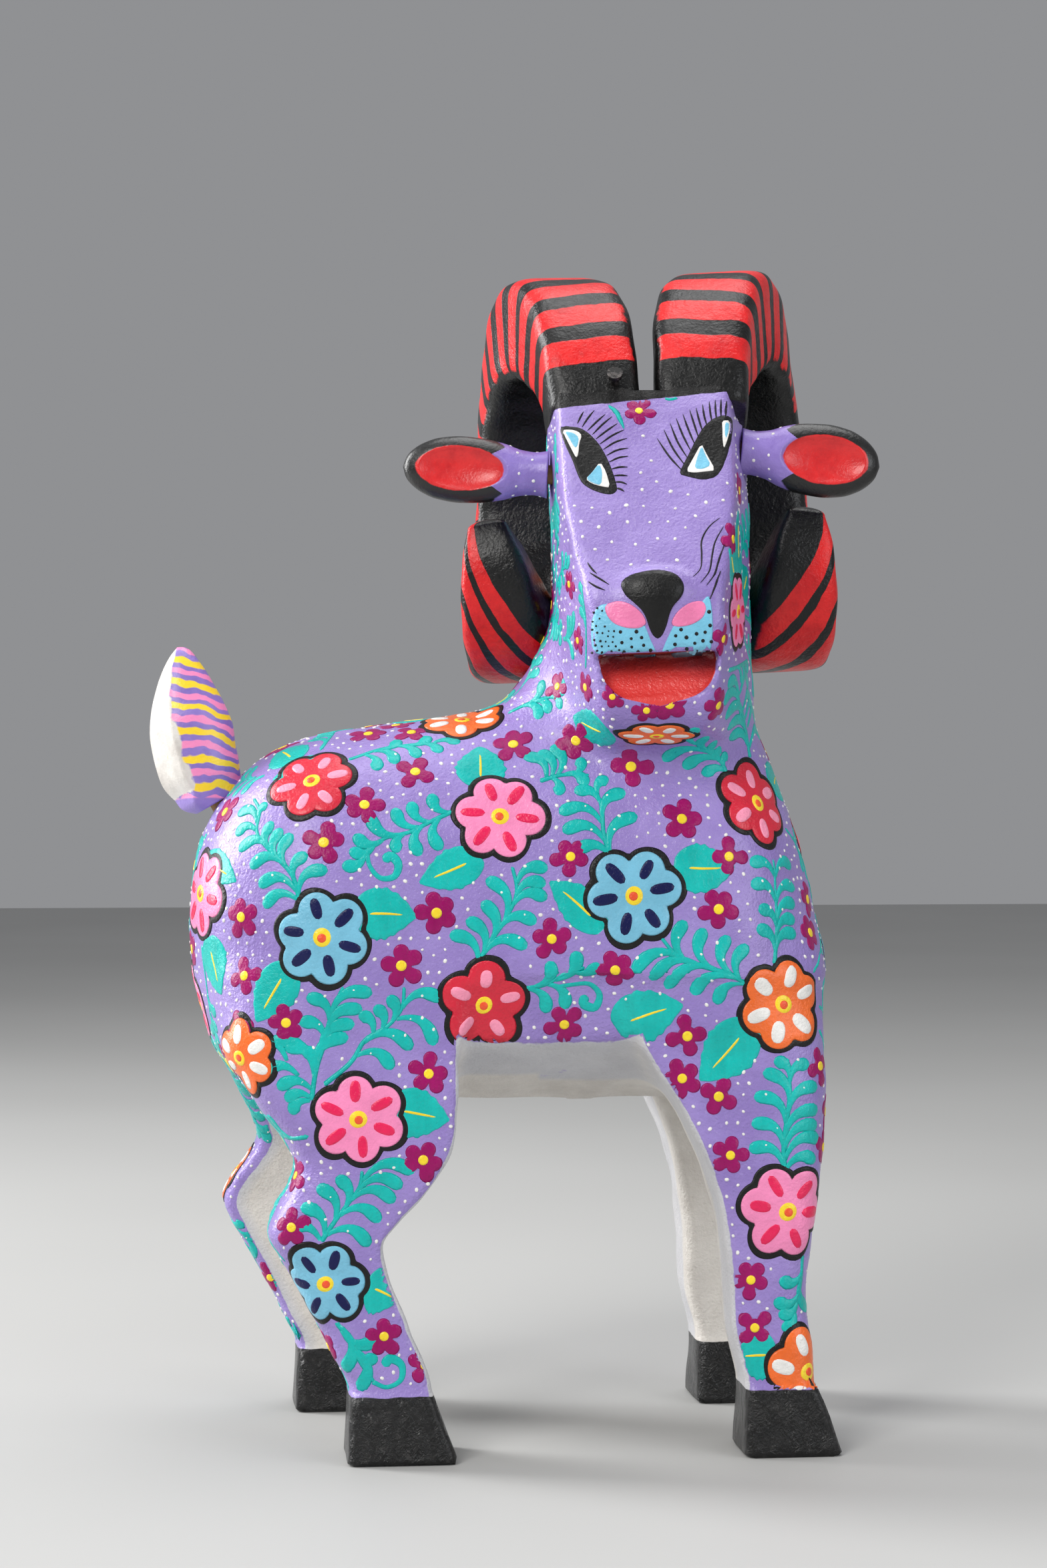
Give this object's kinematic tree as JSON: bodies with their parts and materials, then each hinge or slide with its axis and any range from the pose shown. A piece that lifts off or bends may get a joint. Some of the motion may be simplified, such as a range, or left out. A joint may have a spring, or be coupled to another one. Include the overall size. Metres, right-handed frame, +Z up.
{
  "type": "carved wooden ram figure",
  "caption": "Free-standing carved wooden ram, brightly painted with flowers and leaves, head turned to its right, with plugged-in horns, ears and tail.",
  "frame": {"origin": "on the floor, under the middle of the figure's outer box", "axes": "+Z up, +X the way the body faces (tail to chest), +Y to the ram's left; the face looks along -Y because the head is turned to the ram's right"},
  "size_m": [0.1674, 0.105, 0.27],
  "materials": {
    "painted_body": "hand-painted acrylic on carved wood, satin: purple ground, flowers, leaves and dots, white inner legs, black hooves",
    "painted_horn": "hand-painted acrylic on carved wood, satin: red rings on black",
    "painted_ear": "hand-painted acrylic on carved wood, satin: purple with white dots, black rim, red cup",
    "painted_tail": "hand-painted acrylic on carved wood, satin: yellow and pink wavy bars on purple, white at the rear",
    "bare_wood": "unpainted turned wood",
    "nail_steel": "steel nail, head painted black"
  },
  "bodies": {
    "carved_ram": {"carved_body": "painted_body", "horn_left": "painted_horn", "horn_right": "painted_horn", "horn_peg_front_left": "bare_wood", "horn_peg_front_right": "bare_wood", "horn_peg_rear_left": "bare_wood", "horn_peg_rear_right": "bare_wood", "horn_nail": "nail_steel"},
    "ear_left_plug": {"ear_dowel_left": "bare_wood"},
    "ear_left_leaf": {"ear_left": "painted_ear"},
    "ear_right_plug": {"ear_dowel_right": "bare_wood"},
    "ear_right_leaf": {"ear_right": "painted_ear"},
    "tail_plug": {"tail_dowel": "bare_wood"},
    "tail_leaf": {"tail": "painted_tail"}
  },
  "joints": [
    {"name": "ear_left_pull", "type": "slide", "parent": "carved_ram", "child": "ear_left_plug", "axis": [0.9904, -0.084, -0.1096], "range_m": [0, 0.016]},
    {"name": "ear_left_turn", "type": "hinge", "parent": "ear_left_plug", "child": "ear_left_leaf", "pos_m": [0.05183, -0.01781, 0.22487], "axis": [0.9904, -0.084, -0.1096], "range_deg": [-15, 15]},
    {"name": "ear_right_pull", "type": "slide", "parent": "carved_ram", "child": "ear_right_plug", "axis": [-0.9905, 0.1242, 0.0598], "range_m": [0, 0.016]},
    {"name": "ear_right_turn", "type": "hinge", "parent": "ear_right_plug", "child": "ear_right_leaf", "pos_m": [0.00825, -0.01323, 0.2196], "axis": [-0.9905, 0.1242, 0.0598], "range_deg": [-15, 15]},
    {"name": "tail_pull", "type": "slide", "parent": "carved_ram", "child": "tail_plug", "axis": [-0.5, 0, 0.866], "range_m": [0, 0.018]},
    {"name": "tail_turn", "type": "hinge", "parent": "tail_plug", "child": "tail_leaf", "pos_m": [-0.06618, -0.00094, 0.1452], "axis": [-0.5, 0, 0.866], "range_deg": [-20, 20]}
  ]
}
